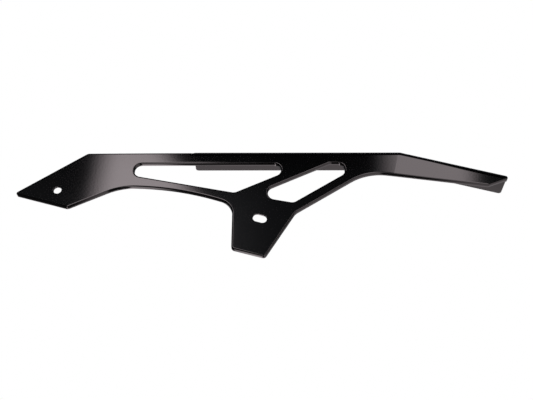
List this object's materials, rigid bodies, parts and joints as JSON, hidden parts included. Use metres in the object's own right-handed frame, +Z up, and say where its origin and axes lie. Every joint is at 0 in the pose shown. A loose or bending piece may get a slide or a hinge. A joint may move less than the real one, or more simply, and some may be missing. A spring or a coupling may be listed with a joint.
{
  "type": "motorcycle chain guard",
  "caption": "Black chain guard folded from one sheet: a long cut-out plate with a pointed nose, two slanted windows, a slotted tab and a flange along its top.",
  "frame": {"origin": "centre of the front fixing hole, on the outer face", "axes": "+X towards the rear along the top edge, +Y inwards through the sheet, +Z up"},
  "size_m": [0.4011, 0.0273, 0.1005],
  "materials": {
    "black_powder_coat": "satin black powder coat on aluminium"
  },
  "bodies": {
    "root": {"chain_guard": "black_powder_coat"}
  },
  "joints": []
}
